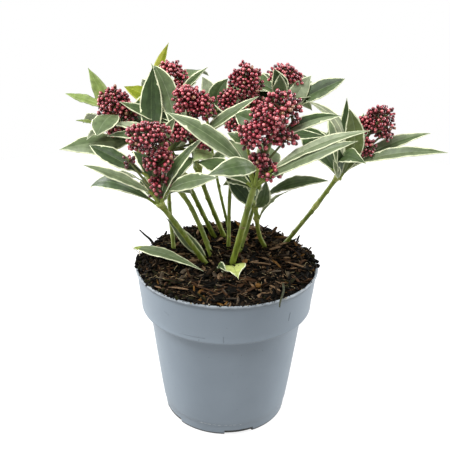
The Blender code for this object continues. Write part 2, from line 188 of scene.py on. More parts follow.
SHOOTS["right"] = Shoot(
    foot=(42.4, 26.4), via=[(62, 24, 148)], top=(77, 10, 180), width=3.2,
    leaves=[
        Leaf((3, 10, 52), 9, "dark", (-0.4, -0.9, 0.2), arch=-3),
        Leaf((0, -20, 51), 14, "fern", (-0.3, -0.9, 0.2), arch=-2, sway=6.5, broad=0.6),
        Leaf((63, 10, 28), 11, "pale/moss", HALF, arch=8.5, start=(0, 0, 3)),
        Leaf((67, -20, 23), 9.5, "grey/sage", (0, -0.6, 0.8), arch=7.5, start=(3, -2, 8)),
        Leaf((-6, -22, 27), 8, "dark", (0.3, -0.8, 0.4), arch=2),
        Leaf((-8, -20, 17), 5, "fern", FRONT, arch=2),
        Leaf((-25, 8, 50), 8, "bright", (0.2, -0.9, 0.3), arch=0, sway=15, fold=8),
        Leaf((13, -24, 16), 14, "green", (0.2, -0.75, 0.6), arch=10, fold=6, start=(0, -2, 7)),
    ],
    back=[62, 80, 94], rise=33, bud=0.85, loose=1.3,
    head=[(101, 6, 221, 11.5, 10.5), (92.5, 6, 217, 6, 8.5), (104, 6, 211, 6.5, 5),
          (92.5, 4, 202, 7.5, 8.5)])


def shoots(seed):
    """Each shoot's name, the shoot, and random numbers of its own."""
    for number, (name, shoot) in enumerate(SHOOTS.items()):
        yield name, shoot, random.Random(SEED * seed + number)


BACK_LEAF_LENGTH = 60
BACK_LEAF_WIDTH = 16.5
# Change of rise, change of heading and share of the length, for the leaves at one heading
BACK_LEAF_STEPS = ((4, 0, 1.0), (-6, 22, 0.85), (-24, -14, 0.8))

# ---------------- sizes, in mm
LEAF_ROWS = 44
LEAF_INNER_COLUMNS = 3
LEAF_OUTER_COLUMNS = 4
LEAF_THICKNESS = 0.32
LEAF_MARGIN = 0.78  # mean width of the pale margin
RIB_HALF_WIDTH = 0.26
RIB_DEPTH = 0.45
TIP_HALF_WIDTH = 0.12
PETIOLE_HALF_WIDTH = 0.9
PETIOLE_DEPTH = 0.9
PETIOLE_SHARE = 0.1  # of the leaf's length
EDGE_DROOP = 0.1  # share of the half width
INNER_ZONE = 0.42  # where the leaf's zones end, as shares of the way from its rib to its margin
SECOND_ZONE = 0.74
SPOT_CHANCE = 0.4  # of a spot where the margin reaches inwards
SPOT_LENGTH = 0.014  # share of the leaf's length
LONGEST_GAP = 5  # a leaf that starts farther than this from its whorl's middle gets a stalk

BUD_RADIUS = 1.3
BUD_SPACING = 2.85
BUDS_IN_CLUSTER = 6
CLUSTER_RADIUS = 3.2
CLUSTER_AREA = 62  # mm2 of a lobe's surface for each cluster
MAIN_LOBE_GAPS = 0.13  # share of the clusters that are missing
SIDE_LOBE_GAPS = 0.27
CROWN_SHARE = 0.4  # how far above a lobe's middle its axis ends, as a share of its half height

RIM_RADIUS = 65.0
POT_HEIGHT = 116.0
SOIL_LEVEL = 118.5
SOIL_RISE_TO_BACK = 0.08
SOIL_RADIUS = 62.6


# ---------------- mesh helpers
class Pile:
    """The vertices and faces of one joined piece, with a material number for each face."""

    def __init__(self):
        self.points = []
        self.faces = []
        self.looks = []
        self.count = 0

    def add(self, points, faces, looks):
        """faces is a list of vertex numbers for each face; looks is one number or one for each."""
        self.points.append(np.asarray(points, float))
        start = self.count
        self.faces.extend([[corner + start for corner in face] for face in faces])
        if isinstance(looks, int):
            looks = [looks] * len(faces)
        self.looks.extend(looks)
        self.count += len(points)

    def add_strand(self, points, count, thick, thin, sides, look, squash=1.0):
        """A tapering tube on a smooth route of count points through the given ones."""
        route = smooth_route(points, count)
        self.add(*tube(route, np.linspace(thick, thin, count), sides, squash), look)

    def make(self, name, materials, slot, *nodes):
        """Builds the piece, which rides on the plant's one body and stands for these CAD nodes.
        The slot is not used."""
        mesh = bpy.data.meshes.new(name)
        points = np.concatenate(self.points) * MM
        mesh.from_pydata(points.tolist(), [], self.faces)
        for material in materials:
            mesh.materials.append(material)
        mesh.polygons.foreach_set("material_index", self.looks)
        mesh.shade_smooth()
        mesh.update()
        piece = put_in_scene(name, mesh)
        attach(piece, "root")
        if nodes:
            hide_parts(*nodes)


def put_in_scene(name, data):
    """A new object with this mesh, light or camera."""
    made = bpy.data.objects.new(name, data)
    bpy.context.scene.collection.objects.link(made)
    return made


def polar(radius, turn, height):
    """The place at this distance, heading and height from the pot's middle."""
    return radius * math.cos(turn), radius * math.sin(turn), height


def randoms(draw, low, high, count=3):
    """Random numbers between low and high."""
    return np.array([draw.uniform(low, high) for _ in range(count)])


def unit(vectors):
    vectors = np.asarray(vectors, float)
    return vectors / np.maximum(np.linalg.norm(vectors, axis=-1, keepdims=True), 1e-9)


def square_to(vectors, axes):
    """The part of each vector that is square to its axis, at unit length."""
    vectors = np.broadcast_to(np.asarray(vectors, float), np.shape(axes))
    return unit(vectors - axes * (vectors * axes).sum(-1, keepdims=True))


def smooth_route(points, count):
    """count points on a smooth curve through the given ones."""
    points = np.asarray(points, float)
    ends = [2 * points[0] - points[1], *points, 2 * points[-1] - points[-2]]
    route = []
    spans = len(points) - 1
    for n in range(count):
        place = n / (count - 1) * spans
        span = min(int(place), spans - 1)
        t = place - span
        a, b, c, d = ends[span:span + 4]
        route.append(0.5 * (2 * b + (c - a) * t + (2 * a - 5 * b + 4 * c - d) * t ** 2
                            + (3 * b - a - 3 * c + d) * t ** 3))
    return np.array(route)


def tube_frames(route):
    """Tangent and two square directions along a route, turning as little as they can."""
    tangents = unit(np.gradient(route, axis=0))
    first = unit(np.cross(tangents[0], (0.3, 0.2, 0.9)))
    sides = [first]
    for tangent in tangents[1:]:
        last = sides[-1]
        sides.append(unit(last - tangent * (last @ tangent)))
    sides = np.array(sides)
    return tangents, sides, np.cross(tangents, sides)


def tube(route, radii, sides, squash=1.0):
    """Points and faces of a closed tube. radii has one number for each point, or one for each
    point and side."""
    route = np.asarray(route, float)
    count = len(route)
    _, one, other = tube_frames(route)
    turn = np.arange(sides) * math.tau / sides
    radii = np.broadcast_to(np.asarray(radii, float).reshape(count, -1), (count, sides))
    ring = (np.cos(turn)[None, :, None] * one[:, None, :]
            + np.sin(turn)[None, :, None] * other[:, None, :] * squash)
    points = (route[:, None, :] + ring * radii[:, :, None]).reshape(-1, 3)
    faces = []
    for n in range(count - 1):
        for side in range(sides):
            after = (side + 1) % sides
            faces.append((n * sides + side, n * sides + after,
                          (n + 1) * sides + after, (n + 1) * sides + side))
    faces.append(tuple(range(sides))[::-1])
    faces.append(tuple(range((count - 1) * sides, count * sides)))
    return points, faces


def rule(draw, u, waves, size):
    """A smooth random line over u, between about -size and size."""
    line = np.zeros_like(u)
    for n in range(1, 4):
        line += draw.uniform(0.4, 1) / n * np.sin(math.tau * (waves * n * u + draw.random()))
    return line * size / 1.4


# ---------------- materials
# The part of the noise's range over which a mottled material's colours change
RAMP_START = 0.3
RAMP_LENGTH = 0.4


def fill(tree, node, **inputs):
    """Gives each input, named with _ for a space, its value or the output that feeds it."""
    for name, value in inputs.items():
        socket = node.inputs[name.replace("_", " ")]
        if isinstance(value, bpy.types.NodeSocket):
            tree.links.new(value, socket)
        else:
            socket.default_value = value
    return node


def add_node(tree, kind, **inputs):
    return fill(tree, tree.nodes.new("ShaderNode" + kind), **inputs)


def mottled(name, colours, scale, roughness, bump=0.0, bump_scale=None, stretch=(1, 1, 1),
            specular=0.5, coat=0.0, detail=4.0):
    """A material whose colour wanders between the given linear colours."""
    made = bpy.data.materials.new(name)
    made.use_nodes = True
    tree = made.node_tree
    shader = fill(tree, tree.nodes["Principled BSDF"], Roughness=roughness,
                  Specular_IOR_Level=specular, Coat_Weight=coat, Coat_Roughness=0.25)
    place = add_node(tree, "TexCoord").outputs["Object"]
    place = add_node(tree, "Mapping", Scale=stretch, Vector=place).outputs["Vector"]
    cloud = add_node(tree, "TexNoise", Scale=scale, Detail=detail, Vector=place)
    ramp = add_node(tree, "ValToRGB", Fac=cloud.outputs["Fac"])
    first, last = ramp.color_ramp.elements
    first.position, last.position = RAMP_START, RAMP_START + RAMP_LENGTH
    first.color, last.color = (*colours[0], 1), (*colours[-1], 1)
    for n, colour in enumerate(colours[1:-1], 1):
        stop = ramp.color_ramp.elements.new(RAMP_START + RAMP_LENGTH * n / (len(colours) - 1))
        stop.color = (*colour, 1)
    fill(tree, shader, Base_Color=ramp.outputs["Color"])
    if bump:
        grain = add_node(tree, "TexNoise", Scale=bump_scale or scale * 3, Detail=3, Vector=place)
        relief = add_node(tree, "Bump", Strength=bump, Distance=0.3 * MM,
                          Height=grain.outputs["Fac"])
        fill(tree, shader, Normal=relief.outputs["Normal"])
    return made


def material_set(prefix, colours, spread, *settings, **more):
    """A mottled material for each colour, darker and lighter than it by the spread."""
    return [mottled(f"{prefix}_{name}",
                    [tuple(c * (1 - spread) for c in colour), colour,
                     tuple(min(1, c * (1 + spread)) for c in colour)], *settings, **more)
            for name, colour in colours.items()]


LEAF_COLOURS = {
    "deep": (0.034, 0.059, 0.020),
    "dark": (0.046, 0.079, 0.027),
    "dusk": (0.062, 0.099, 0.035),
    "green": (0.079, 0.121, 0.044),
    "moss": (0.108, 0.150, 0.066),
    "sage": (0.139, 0.181, 0.089),
    "mist": (0.168, 0.214, 0.113),
    "grey": (0.197, 0.245, 0.139),
    "silver": (0.281, 0.328, 0.206),
    "pale": (0.361, 0.403, 0.269),
    "lime": (0.175, 0.215, 0.008),
    "olive": (0.330, 0.350, 0.045),
    "leafy": (0.193, 0.269, 0.071),
    "leafy_edge": (0.252, 0.323, 0.113),
    "cream": (0.745, 0.780, 0.520),
    "butter": (0.480, 0.540, 0.170),
    "petiole": (0.215, 0.270, 0.050),
    "fern": (0.139, 0.178, 0.059),
    # painted light: a light green for a leaf that lies in shade
    "painted_light_green": (0.470, 0.600, 0.260),
    "rib": (0.210, 0.265, 0.139),
    "under": (0.223, 0.277, 0.130),
    "under_edge": (0.294, 0.340, 0.185),
}
LEAF_NUMBERS = {name: number for number, name in enumerate(LEAF_COLOURS)}
# look: colours of the middle, of the zone about it and of the outer zone of a half, its margin
# and its rib
# bright and painted_light are painted light: lighter looks for leaves that lie in shade
LEAF_LOOKS = {
    "dark": ("deep", "dark", "dark", "cream", "green"),
    "green": ("dusk", "green", "green", "cream", "moss"),
    "moss": ("green", "moss", "moss", "cream", "sage"),
    "grey": ("moss", "moss", "sage", "cream", "grey"),
    "sage": ("sage", "sage", "mist", "cream", "grey"),
    "pale": ("mist", "grey", "grey", "cream", "rib"),
    "silver": ("silver", "silver", "silver", "cream", "pale"),
    "bright": ("pale", "pale", "silver", "cream", "cream"),
    "fern": ("fern", "fern", "fern", "cream", "rib"),
    "painted_light": ("painted_light_green", "painted_light_green", "painted_light_green", "cream", "leafy_edge"),
    "misty": ("moss", "sage", "grey", "cream", "rib"),
    "butter": ("butter", "butter", "butter", "cream", "leafy_edge"),
    "lime": ("lime", "lime", "lime", "olive", "olive"),
    "olive": ("olive", "olive", "olive", "olive", "lime"),
    "leafy": ("leafy", "leafy", "leafy_edge", "leafy_edge", "leafy_edge"),
}


# ---------------- leaves
def leaf_outline(u, broad):
    """Share of the half width at each share of the length: pointed at both ends."""
    p, q = 2.4 * broad, 2.4 * (1 - broad)
    return (np.maximum(u, 1e-6) / broad) ** p * (np.maximum(1 - u, 0) / (1 - broad)) ** q


def leaf_columns(draw, u, half_width):
    """For one half of a leaf, the share of the half width at which each column of faces ends: the
    rib, three zones of green that meet in wavering lines, and the pale margin, which may reach
    inwards at one spot."""
    rib = np.minimum(RIB_HALF_WIDTH / half_width, 0.3) * (1 - 0.5 * u)
    margin = LEAF_MARGIN * (1 + rule(draw, u, 4, 0.3)) * np.minimum(1, half_width / 3)
    if draw.random() < SPOT_CHANCE:
        spot, reach = draw.uniform(0.25, 0.85), draw.uniform(0.6, 1.6)
        margin = margin + reach * np.exp(-((u - spot) / SPOT_LENGTH) ** 2)
    edge = 1 - np.clip(margin / half_width, 0.05, 0.5)
    middle = rib + (edge - rib) * np.clip(INNER_ZONE + rule(draw, u, 5, 0.10), 0.15, 0.85)
    second = rib + (edge - rib) * np.clip(SECOND_ZONE + rule(draw, u, 6, 0.09), 0.55, 0.95)
    columns = [np.zeros_like(u), rib]
    for n in range(1, LEAF_INNER_COLUMNS + 1):
        columns.append(rib + (middle - rib) * n / LEAF_INNER_COLUMNS)
    columns += [middle + (second - middle) * 0.5, second, second + (edge - second) * 0.5, edge]
    columns.append(np.ones_like(u))
    return np.array(columns).T


def column_looks(look):
    inner, about, outer, margin, rib = (LEAF_NUMBERS[name] for name in LEAF_LOOKS[look])
    return [rib] + [inner] * LEAF_INNER_COLUMNS + [about] * 2 + [outer] * 2 + [margin]


def leaf_faces():
    """Faces of a leaf: its upper grid, its under grid, and its rim with its two ends."""
    across = 2 * (2 + LEAF_INNER_COLUMNS + LEAF_OUTER_COLUMNS) + 1
    last = LEAF_ROWS * across
    under = last + across
    corners = [row + column for row in range(0, last, across) for column in range(across - 1)]
    upper_faces = [(a, a + 1, a + across + 1, a + across) for a in corners]
    under_faces = [(under + a, under + a + across, under + a + across + 1, under + a + 1)
                   for a in corners]
    rim_faces = []
    for left in range(0, last, across):
        right = left + across - 1
        rim_faces += [(left, left + across, under + left + across, under + left),
                      (right, under + right, under + right + across, right + across)]
    for a in range(across - 1):
        b = last + a
        rim_faces += [(a, under + a, under + a + 1, a + 1), (b, b + 1, under + b + 1, under + b)]
    return upper_faces, under_faces, rim_faces


LEAF_FACES = leaf_faces()


def add_leaf(pile, draw, base, tip, blade):
    """A closed leaf blade: a folded, waved strip about an arched midrib."""
    u = np.linspace(0, 1, LEAF_ROWS + 1)
    base, tip = np.asarray(base, float), np.asarray(tip, float)
    along = unit(tip - base)
    above = square_to(blade.face, along)
    across = np.cross(along, above)
    control = (base + tip) / 2 + 2 * (above * blade.arch + across * blade.sway)
    spine = (np.outer((1 - u) ** 2, base) + np.outer(2 * u * (1 - u), control)
             + np.outer(u ** 2, tip))
    tangents = unit(np.gradient(spine, axis=0))
    normals = square_to(above, tangents)
    sides = np.cross(tangents, normals)
    turn = np.radians(blade.twist) * (u - 0.4)[:, None]
    normals, sides = (normals * np.cos(turn) + sides * np.sin(turn),
                      sides * np.cos(turn) - normals * np.sin(turn))
    petiole = np.clip(1 - u / PETIOLE_SHARE, 0, 1)
    half_width = blade.width / 2 * leaf_outline(u, blade.broad)
    half_width = np.maximum(half_width, np.where(u < 0.5, PETIOLE_HALF_WIDTH, TIP_HALF_WIDTH))
    tilt = np.radians(blade.fold) * (1 + 0.5 * petiole) * (1 - 0.35 * u)
    swell = np.sin(math.pi * u)
    halves = []
    for sign in (-1, 1):
        shares = leaf_columns(draw, u, half_width)
        edge_wave = (blade.wave * rule(draw, u, 2.6, 1.0) * swell
                     + blade.wave * 0.3 * rule(draw, u, 7, 1.0) * swell)
        out = shares * (half_width * np.cos(tilt))[:, None]
        lift = (shares * (half_width * np.sin(tilt))[:, None]
                - EDGE_DROOP * half_width[:, None] * shares ** 3
                + edge_wave[:, None] * shares ** 2)
        halves.append(spine[:, None, :] + sides[:, None, :] * (sign * out)[:, :, None]
                      + normals[:, None, :] * lift[:, :, None])
    upper = np.concatenate([halves[0][:, :0:-1], halves[1]], axis=1)
    columns = upper.shape[1]
    depth = np.full((LEAF_ROWS + 1, columns), LEAF_THICKNESS) + petiole[:, None] * PETIOLE_DEPTH
    depth[:, columns // 2] += RIB_DEPTH * (1 - u)
    under = upper - normals[:, None, :] * depth[:, :, None]
    upper_faces, under_faces, rim_faces = LEAF_FACES
    left, right = (column_looks(blade.look.split("/")[n]) for n in (0, -1))
    upper_looks = (left[::-1] + right) * LEAF_ROWS
    below = [LEAF_NUMBERS[name] for name in
             ["rib"] + ["under"] * LEAF_INNER_COLUMNS + ["under_edge"] * LEAF_OUTER_COLUMNS]
    below.append(left[-1])
    under_looks = (below[::-1] + below) * LEAF_ROWS
    rim_looks = [left[-1]] * len(rim_faces)
    foot_rows = int(PETIOLE_SHARE * LEAF_ROWS)
    for looks, row_faces in ((upper_looks, 2 * len(left)), (under_looks, 2 * len(left)),
                             (rim_looks, 2)):
        looks[:foot_rows * row_faces] = [LEAF_NUMBERS["petiole"]] * (foot_rows * row_faces)
    pile.add(np.concatenate([upper.reshape(-1, 3), under.reshape(-1, 3)]),
             upper_faces + under_faces + rim_faces, upper_looks + under_looks + rim_looks)


def back_leaves(draw, headings, rise):
    """Leaves of the side of a whorl that faces away from the front."""
    made = []
    roll = random.Random(SEED + sum(headings))
    for heading in headings:
        for rise_change, turn_change, share in BACK_LEAF_STEPS:
            slope = math.radians(rise + rise_change + draw.uniform(-4, 4))
            turn = math.radians(heading + turn_change + draw.uniform(-6, 6))
            length = BACK_LEAF_LENGTH * share * draw.uniform(0.88, 1.0)
            flat = math.cos(slope) * length
            tip = polar(flat, turn, math.sin(slope) * length)
            face = (roll.uniform(-0.8, 0.8), roll.uniform(-0.5, 0.5), 1.0)
            made.append(Leaf(tip, BACK_LEAF_WIDTH * draw.uniform(0.85, 1.15),
                             draw.choice(["dark", "grey", "green", "sage"]), face,
                             arch=draw.uniform(4, 13), fold=draw.uniform(6, 20),
                             twist=draw.uniform(-45, 45)))
    return made


def make_leaves(materials):
    for name, shoot, draw in shoots(100):
        pile = Pile()
        top = np.array(shoot.top, float)
        for blade in shoot.leaves + back_leaves(draw, shoot.back, shoot.rise):
            tip = np.array(blade.tip, float)
            base = top + np.array(blade.start, float)
            base = base + unit(tip * (1, 1, 0.2)) * shoot.width * 0.35
            base = base - (0, 0, draw.uniform(0, 4))
            if np.linalg.norm(base - top) > LONGEST_GAP:
                middle = (top + base) / 2 + (0, 0, -0.5)
                pile.add_strand([top - (0, 0, 1), middle, base], 9, 1.25, 0.95, 8,
                                LEAF_NUMBERS["petiole"])
            add_leaf(pile, draw, base, top + tip, blade)
        pile.make(f"{name}_leaf_blades", materials, "leaf", f"leaves_{name}")


# Leaves low on the plant. Here start and tip are places in the frame, in mm. The first stands
# behind the front left stem and the second lies on the compost. The third bends over towards the
# front, and the last is its rolled left side.
LOW_LEAVES = [
    Leaf((-43.3, 2, 149.5), 9.5, "sage", (-0.3, -0.9, 0.3), arch=0.5, fold=10, start=(-14, 2, 117),
         wave=0.5, broad=0.42),
    Leaf((-14.5, -23, 119.5), 10.5, "sage/grey", (0.05, -0.3, 0.95), arch=4, fold=8,
         start=(-67.5, 12.6, 121.5), wave=0.5, broad=0.34),
    Leaf((8.3, -30.6, 117.6), 19, "butter", (0, -0.3, 0.95), arch=1.6, fold=11,
         start=(3.6, -10, 118.8), wave=0.5, broad=0.16),
    Leaf((0.5, -21.5, 118), 7, "green", (-0.6, -0.6, 0.5), arch=1, fold=25,
         start=(-5.2, -11.5, 121), wave=0.5, broad=0.35),
]


def make_low_leaves(materials):
    """Leaves that no CAD node stands for. The low shoot's piece has the plain name."""
    draw = random.Random(SEED * 250)
    pile = Pile()
    for blade in LOW_LEAVES:
        add_leaf(pile, draw, blade.start, blade.tip, blade)
    pile.make("low_leaf_blades.001", materials, "leaf")


# ---------------- flower heads
def spiral_directions(count, lowest):
    """Evenly spread directions from straight up down to the given height."""
    golden_angle = math.pi * (3 - math.sqrt(5))
    made = []
    for n in range(count):
        height = 1 - (1 - lowest) * (n + 0.5) / count
        ring = math.sqrt(max(0, 1 - height * height))
        made.append(polar(ring, n * golden_angle, height))
    return np.array(made)


def branch_point(axis, end, fall, drop=0):
    """The point of an axis from which a branch rises to its end, lower for an end farther out."""
    reach = np.linalg.norm((axis - end)[:, :2], axis=1)
    return axis[int(np.argmin(abs(axis[:, 2] - (end[2] - fall * reach - drop))))]


def lobe_axes(shoot):
    """The line that each lobe of a head branches from: the main one's runs on from the stem."""
    axes = []
    for *middle, _, height in shoot.head:
        middle = np.array(middle, float)
        start, count = np.array(shoot.top, float), 24
        if axes:
            start, count = branch_point(axes[0], middle, 1.1, 4), 16
        crown = middle + (0, 0, height * CROWN_SHARE)
        axes.append(smooth_route([start, (start + middle) / 2, middle, crown], count))
    return axes


def cluster_places(draw, shoot):
    """Middles of a head's bud clusters, their outward directions, and the number of their lobe."""
    lobes = np.array(shoot.head, float)
    scale = shoot.bud
    places = []
    for index, (*middle, width, height) in enumerate(lobes):
        size = np.array((width, width, height))
        inset = np.maximum(size - (CLUSTER_RADIUS + BUD_RADIUS * 0.7) * scale, size * 0.25)
        area = 4 * math.pi * (width ** 2 + 2 * width * height) / 3
        count = max(1, int(area / (CLUSTER_AREA * shoot.loose * scale * scale)))
        for direction in spiral_directions(count, -0.85):
            out = unit(direction + randoms(draw, -0.2, 0.2))
            place = middle + out * inset * draw.uniform(0.70, 1.16)
            gap = draw.random() < (MAIN_LOBE_GAPS if index == 0 else SIDE_LOBE_GAPS)
            depths = np.linalg.norm((place - lobes[:, :3]) / lobes[:, [3, 3, 4]], axis=1)
            depths[index] = 1
            if depths.min() > 0.6 and not gap:
                places.append((place, unit(out / size), index))
        for direction in spiral_directions(count // 6, -0.5):
            places.append((middle + direction * inset * 0.4, unit(direction), index))
    return places


def spread_out(points, spacing, passes=14):
    """Pushes points apart that are closer than the spacing."""
    points = points.copy()
    for _ in range(passes):
        gaps = points[:, None, :] - points[None, :, :]
        lengths = np.linalg.norm(gaps, axis=-1) + np.eye(len(points)) * 1e3
        push = np.clip(spacing - lengths, 0, None) / 2
        points += (gaps / lengths[..., None] * push[..., None]).sum(1) * 0.7
    return points


BUD_COLOURS = {
    "wine": (0.080, 0.004, 0.009),
    "red": (0.165, 0.008, 0.017),
    "rose": (0.275, 0.024, 0.036),
    "brown": (0.192, 0.068, 0.036),
    # dark over each bud's lower half: the calyx, and painted shade between the buds
    "calyx_and_shade": (0.050, 0.011, 0.010),
    # lighter colours of the buds' tips: their paler tips, and painted highlight
    "tip_highlight_wine": (0.290, 0.022, 0.041),
    "tip_highlight_red": (0.500, 0.068, 0.094),
    "tip_highlight_rose": (0.660, 0.180, 0.190),
    "tip_highlight_brown": (0.336, 0.160, 0.088),
}
STALK_COLOURS = {"stalk_red": (0.110, 0.026, 0.018), "stalk_green": (0.110, 0.130, 0.036)}
BUD_TINT_SHARES = [3, 5, 4, 0.5]  # of wine, red, rose and brown buds
CALYX_AND_SHADE = 4
FIRST_TIP_HIGHLIGHT = 5  # the lighter tips, partly painted highlight, follow in the order of the tints
RED_STALK, GREEN_STALK = range(2)
STALK_CHANCES = [RED_STALK, RED_STALK, GREEN_STALK]


def bud_mesh():
    """Points and faces of a closed bud of unit radius, standing on +Z, with four shallow petal
    seams, and
    the zone of each face: 0 the dark calyx, partly painted shade, 1 the middle, 2 the lighter tip,
    partly painted highlight."""
    rings, sides = 7, 12
    points = [(0, 0, -1.0)]
    for ring in range(1, rings):
        angle = math.pi * ring / rings
        for side in range(sides):
            turn = math.tau * side / sides
            seam = 1 - 0.07 * math.sin(angle) * (0.5 + 0.5 * math.cos(4 * turn)) ** 3
            spread = math.sin(angle) * seam
            height = -math.cos(angle) * (1.12 if angle > math.pi / 2 else 1.0)
            points.append(polar(spread, turn, height))
    points.append((0, 0, 1.08))
    faces, zones = [], []
    for side in range(sides):
        after = (side + 1) % sides
        faces.append((0, 1 + after, 1 + side))
        zones.append(0)
        for ring in range(rings - 2):
            a, b = 1 + ring * sides, 1 + (ring + 1) * sides
            faces.append((a + side, a + after, b + after, b + side))
            zones.append((0, 0, 1, 1, 2)[ring])
        last = 1 + (rings - 2) * sides
        faces.append((last + side, last + after, len(points) - 1))
        zones.append(2)
    return np.array(points), faces, zones


BUD = bud_mesh()


def make_head(name, shoot, draw, bud_materials, stalk_materials):
    """The head's clusters of buds, a stalk to each cluster and to each bud, and its branches."""
    axes = lobe_axes(shoot)
    scale = shoot.bud
    clusters = cluster_places(draw, shoot)
    buds, owners = [], []
    for index, (place, out, _) in enumerate(clusters):
        side = unit(np.cross(out, (0.2, 0.3, 1.0)))
        other = np.cross(out, side)
        start_turn = draw.uniform(0, math.tau)
        count = BUDS_IN_CLUSTER + draw.choice([-2, -1, 0, 0])
        for n in range(count):
            lean = 0.25 if n == 0 else draw.uniform(0.75, 1.45)
            turn = start_turn + n * math.tau / (count - 1)
            towards = (out * math.cos(lean)
                       + (side * math.cos(turn) + other * math.sin(turn)) * math.sin(lean))
            buds.append(place + towards * CLUSTER_RADIUS * scale * draw.uniform(0.7, 1.25))
            owners.append(index)
    buds = spread_out(np.array(buds), BUD_SPACING * scale)
    bud_pile, stalk_pile = Pile(), Pile()
    points, faces, zones = BUD
    nodes = []
    for place, out, lobe in clusters:
        node = place - out * 1.8 * scale
        nodes.append(node)
        root = branch_point(axes[lobe], node, 0.6)
        bow = (root + node) / 2 + out * 0.6 - (0, 0, 0.8)
        stalk_pile.add_strand([root, bow, node], 5, 0.7, 0.5, 6, draw.choice(STALK_CHANCES))
    for bud, owner in zip(buds, owners):
        node = nodes[owner]
        axis = unit(bud - node + randoms(draw, -0.8, 0.8))
        size = BUD_RADIUS * scale * draw.uniform(0.78, 1.14)
        side = unit(np.cross(axis, (0.31, 0.2, 0.93)))
        other = np.cross(axis, side)
        shape = np.stack([side, other, axis]) * size * np.array(
            [[1], [1], [draw.uniform(1.0, 1.25)]])
        tint = draw.choices(range(4), BUD_TINT_SHARES)[0]
        # the dark lower zone carries painted shade and the tip zone painted highlight
        bud_pile.add(points @ shape + bud, faces,
                     [(CALYX_AND_SHADE, tint, tint + FIRST_TIP_HIGHLIGHT)[zone] for zone in zones])
        stalk_pile.add(*tube([node, (node + bud) / 2 + axis * 0.3, bud - axis * size * 0.7],
                             [0.40, 0.32, 0.40], 5), draw.choice(STALK_CHANCES))
    for lobe, axis in enumerate(axes):
        thick = 1.4 if lobe == 0 else 0.9
        stalk_pile.add(*tube(axis, np.linspace(thick, 0.6, len(axis)), 8), GREEN_STALK)
    bud_pile.make(f"{name}_buds", bud_materials, "bud", f"flowers_{name}")
    stalk_pile.make(f"{name}_bud_stalks", stalk_materials, "stem", f"flowers_{name}")


# ---------------- stems
def soil_height(y):
    """Mean height of the compost, which rises towards the back."""
    return SOIL_LEVEL + SOIL_RISE_TO_BACK * y


STEM_SIDES = 14
STEM, SCAR, KNOT = range(3)
# Swollen places on a stem: distance below the whorl and share that is added to the radius
KNOTS = {
    "front_left": [(1, 0.7)],
    "inner": [(26, 1.0)],
    "centre": [(31, 1.1)],
    "low": [(14, 0.5), (1, 0.5)],
    "right": [(1, 0.7), (33, 0.35)],
}


def make_stems(materials):
    """Tapering stems, swollen at the foot and at their knots, with leaf scars all along."""
    for name, shoot, draw in shoots(500):
        x, y = shoot.foot
        foot = (x, y, soil_height(y) - 2)
        route = smooth_route([foot, *shoot.via, shoot.top], 90)
        steps = np.linalg.norm(np.diff(route, axis=0), axis=1)
        place = np.concatenate([[0], np.cumsum(steps)])
        swelling = 0.22 * np.exp(-place / 5)
        radius = shoot.width / 2 * (1 + swelling + rule(draw, place / 90, 5, 0.04))
        turn = np.arange(STEM_SIDES) * math.tau / STEM_SIDES
        radii = radius[:, None] * (1 + 0.03 * np.cos(3 * turn + draw.random())[None, :])
        looks = np.full((len(route) - 1, STEM_SIDES), STEM)
        for below, size in KNOTS.get(name, []):
            bulge = np.exp(-((place[-1] - below - place) / 3.6) ** 2)
            radii = radii * (1 + size * bulge[:, None])
            looks[bulge[:-1] > 0.2] = KNOT
        spot = draw.uniform(10, 18)  # the first leaf scar's distance from the foot
        while spot < place[-1] - 6:
            scar_turn = draw.uniform(0, math.tau)
            ring = np.exp(-((place - spot) / 1.1) ** 2)[:, None]
            facing = np.clip(np.cos(turn - scar_turn), 0, 1)[None, :]
            radii = radii + ring * (0.12 + 0.42 * facing ** 2)
            row = int(np.argmin(abs(place - spot)))
            looks[row, facing[0] > 0.75] = SCAR
            spot += draw.uniform(9, 17)
        pile = Pile()
        points, faces = tube(route, radii, STEM_SIDES)
        pile.add(points, faces, looks.ravel().tolist() + [STEM, STEM])
        pile.make(f"{name}_stem_bark", materials, "stem", f"stem_{name}")


# ---------------- compost
FALL_START = 55  # distance from the middle at which the bed starts to fall off
WALL_DROP = 2.5  # the bed meets the wall this much below the rim
BED_FLOOR_RADIUS = 57
BED_FLOOR_HEIGHT = 88
BARK_SHARDS = 1500
BARK_CHIPS = 100
CRUMBS = 2200
FIBRES = 300
DUST_GRAINS = 330
WALL_GRAIN_STEP = 47  # one grain of dust in so many is on the wall
RIM_CRUMBS = 44  # on each stretch of the rim: left, right and front left, in degrees
RIM_STRETCHES = ((162, 196), (-6, 24), (-150, -112))


def lumps(x, y):
    """Height of the compost's unevenness at a point."""
    return (1.1 * math.sin(0.16 * x + 1.2) * math.sin(0.13 * y + 0.4)
            + 0.6 * math.sin(0.41 * x - 0.33 * y) + 0.35 * math.sin(0.9 * x + 0.2)
            * math.cos(0.8 * y + 1.0))


def bed_height(x, y):
    """Height of the compost, which falls off to the wall where it stands above the rim."""
    level = soil_height(y) + lumps(x, y)
    fall = np.clip((math.hypot(x, y) - FALL_START) / (SOIL_RADIUS - FALL_START), 0, 1) ** 2.2
    return level - max(0, level - (POT_HEIGHT - WALL_DROP)) * fall


def make_bed(material):
    rings, sides = 46, 150
    points = [(0, 0, bed_height(0, 0))]
    for ring in range(1, rings + 1):
        for side in range(sides):
            x, y, _ = polar(SOIL_RADIUS * ring / rings, math.tau * side / sides, 0)
            points.append((x, y, bed_height(x, y)))
    floor_start = len(points)
    for side in range(sides):
        points.append(polar(BED_FLOOR_RADIUS, math.tau * side / sides, BED_FLOOR_HEIGHT))
    faces = []
    for side in range(sides):
        after = (side + 1) % sides
        faces.append((0, 1 + side, 1 + after))
        for ring in range(rings):
            a, b = 1 + ring * sides, 1 + (ring + 1) * sides
            faces.append((a + side, b + side, b + after, a + after))
    faces.append(tuple(range(floor_start, floor_start + sides))[::-1])
    pile = Pile()
    pile.add(points, faces, 0)
    pile.make("compost_bed", [material], "compost", "soil")


